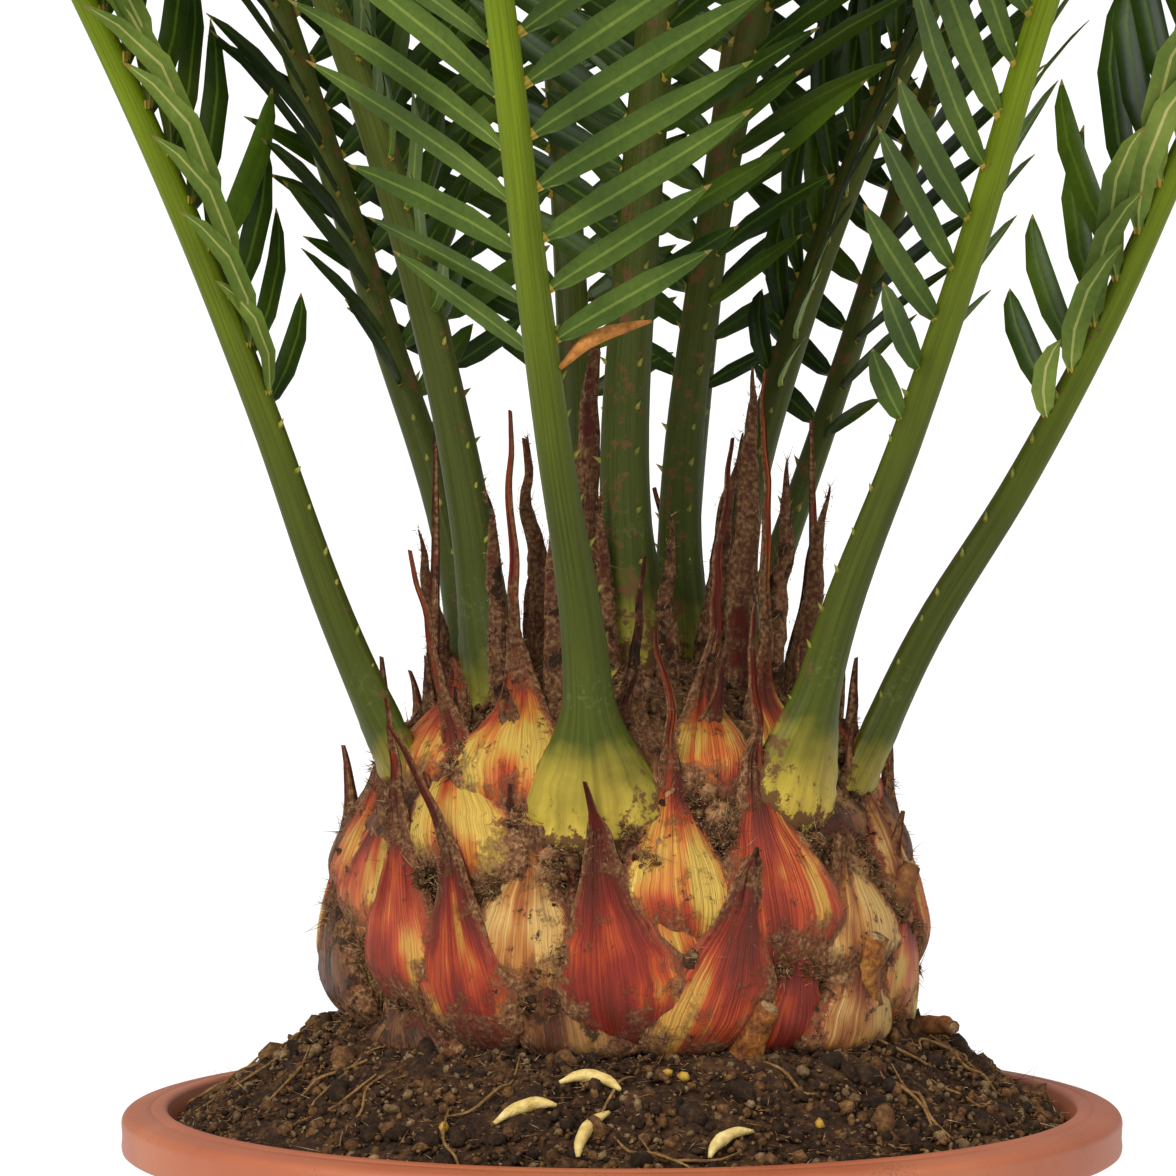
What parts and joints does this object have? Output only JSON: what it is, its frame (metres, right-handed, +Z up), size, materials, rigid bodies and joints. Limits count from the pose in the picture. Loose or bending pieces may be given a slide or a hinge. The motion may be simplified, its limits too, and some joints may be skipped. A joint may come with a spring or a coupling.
{
  "type": "potted sago palm",
  "caption": "Small sago palm with a squat scaly trunk and arching feather fronds, standing in soil in a round terracotta-coloured plastic pot.",
  "frame": {"origin": "centre of the pot's flat underside, on the surface that it stands on", "axes": "+Z up along the pot's axis; -Y is the side that faces the picture's camera, +X is to its right"},
  "size_m": [0.6085, 0.5748, 0.6704],
  "materials": {
    "pot_plastic": "satin",
    "soil": "matte",
    "trunk_scales": "matte",
    "frond": "satin"
  },
  "bodies": {
    "root": {"pot": "pot_plastic", "soil": "soil", "trunk": "trunk_scales", "frond_01": "frond", "frond_02": "frond", "frond_03": "frond", "frond_04": "frond", "frond_05": "frond", "frond_06": "frond", "frond_07": "frond", "frond_08": "frond", "frond_09": "frond", "frond_10": "frond", "frond_11": "frond", "frond_12": "frond", "frond_13": "frond"}
  },
  "joints": []
}
